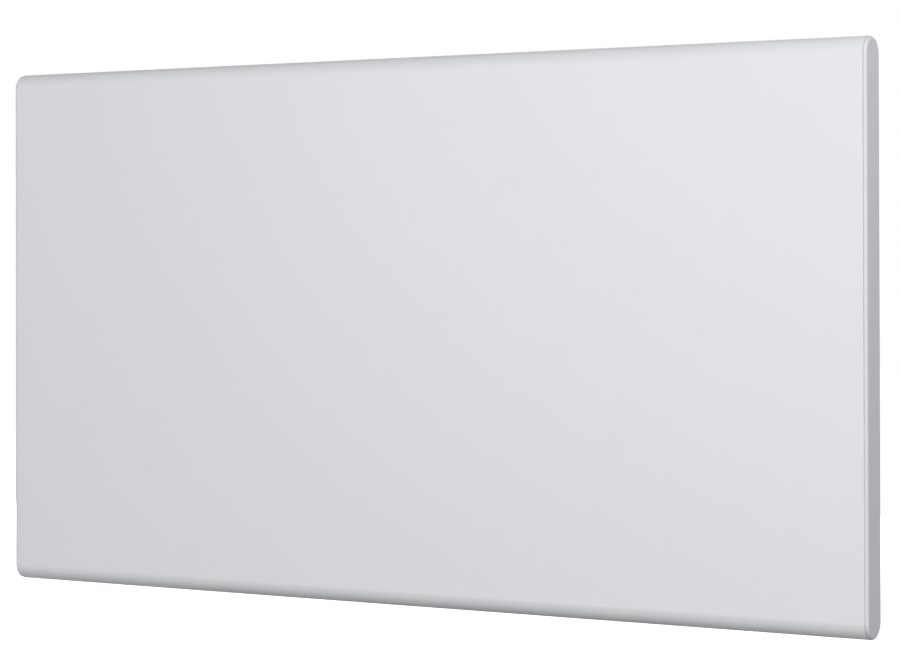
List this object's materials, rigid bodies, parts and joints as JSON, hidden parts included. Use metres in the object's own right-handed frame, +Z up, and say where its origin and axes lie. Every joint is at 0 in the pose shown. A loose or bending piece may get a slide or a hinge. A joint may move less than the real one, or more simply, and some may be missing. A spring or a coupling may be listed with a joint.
{
  "type": "panel heater",
  "caption": "Slim flat electric panel heater on a sheet-steel wall bracket, with a dial and a rocker switch at one end and sprung latches on top.",
  "frame": {"origin": "middle of the bracket rail's wall face, level with the middle of the casing", "axes": "+X along the width to the right as seen from the front, +Y into the wall, +Z up; the front faces -Y"},
  "size_m": [0.9041, 0.05, 0.5],
  "materials": {
    "coated_steel": "white satin powder coat on steel sheet",
    "cap_plastic": "white moulded plastic, fine satin grain",
    "galvanised_steel": "hot-dip galvanised sheet",
    "zinc_screw": "zinc-plated steel",
    "aluminium_sheet": "bare rolled aluminium",
    "element_film": "amber insulating film",
    "heating_foil": "rolled resistance foil",
    "mineral_wool": "pressed mineral wool board",
    "black_phenolic": "black moulded thermoset",
    "brass_parts": "turned brass",
    "white_polyamide": "white moulded polyamide",
    "black_polyamide": "black moulded polyamide",
    "copper_tube": "drawn copper",
    "live_sleeve": "brown wire sleeve",
    "neutral_sleeve": "blue wire sleeve",
    "earth_sleeve": "green and yellow wire sleeve",
    "bracket_steel": "galvanised steel strip",
    "aluminium_rivet": "aluminium blind rivet",
    "spring_steel": "bright spring wire"
  },
  "bodies": {
    "heater": {"front_panel": "coated_steel", "end_cap_right": "cap_plastic", "end_cap_left": "cap_plastic", "back_panel": "galvanised_steel", "back_screw_1": "zinc_screw", "back_screw_2": "zinc_screw", "back_screw_3": "zinc_screw", "back_screw_4": "zinc_screw", "back_screw_5": "zinc_screw", "back_screw_6": "zinc_screw", "slot_cover_left": "galvanised_steel", "slot_cover_right": "galvanised_steel", "heat_spreader": "aluminium_sheet", "element_film_front": "element_film", "heating_track": "heating_foil", "element_film_rear": "element_film", "insulation_board": "mineral_wool", "bay_divider": "galvanised_steel", "thermal_cutout": "black_phenolic", "thermal_fuse": "brass_parts", "terminal_block": "white_polyamide", "earth_stud": "brass_parts", "earth_nut": "brass_parts", "cord_gland": "black_polyamide", "gland_nut": "black_polyamide", "control_bracket": "galvanised_steel", "thermostat_body": "black_phenolic", "thermostat_nut": "brass_parts", "sensor_capillary": "copper_tube", "switch_housing": "black_polyamide", "lead_live": "live_sleeve", "lead_switched": "live_sleeve", "lead_to_cutout": "live_sleeve", "lead_to_track": "live_sleeve", "lead_to_fuse": "neutral_sleeve", "lead_neutral": "neutral_sleeve", "lead_earth": "earth_sleeve", "bracket_rail": "bracket_steel", "bracket_arm_left": "bracket_steel", "bracket_arm_right": "bracket_steel", "rail_rivet_1": "aluminium_rivet", "rail_rivet_2": "aluminium_rivet", "rail_rivet_3": "aluminium_rivet", "rail_rivet_4": "aluminium_rivet", "latch_spring_left": "spring_steel", "latch_spring_right": "spring_steel"},
    "dial": {"thermostat_dial": "cap_plastic", "thermostat_shaft": "zinc_screw"},
    "rocker": {"switch_rocker": "white_polyamide"},
    "left_latch": {"latch_left": "black_polyamide"},
    "right_latch": {"latch_right": "black_polyamide"}
  },
  "joints": [
    {"name": "dial_turn", "type": "hinge", "parent": "heater", "child": "dial", "pos_m": [-0.45, -0.035, 0.15], "axis": [1, 0, 0], "range_deg": [0, 270]},
    {"name": "switch_rock", "type": "hinge", "parent": "heater", "child": "rocker", "pos_m": [-0.4483, -0.035, 0.09], "axis": [0, 1, 0], "range_deg": [0, 20]},
    {"name": "latch_left_press", "type": "slide", "parent": "heater", "child": "left_latch", "axis": [0, 0, -1], "range_m": [0, 0.008], "stiffness_N_per_m": 300, "springref_m": -0.01, "deforming": ["latch_spring_left"]},
    {"name": "latch_right_press", "type": "slide", "parent": "heater", "child": "right_latch", "axis": [0, 0, -1], "range_m": [0, 0.008], "stiffness_N_per_m": 300, "springref_m": -0.01, "deforming": ["latch_spring_right"]}
  ]
}
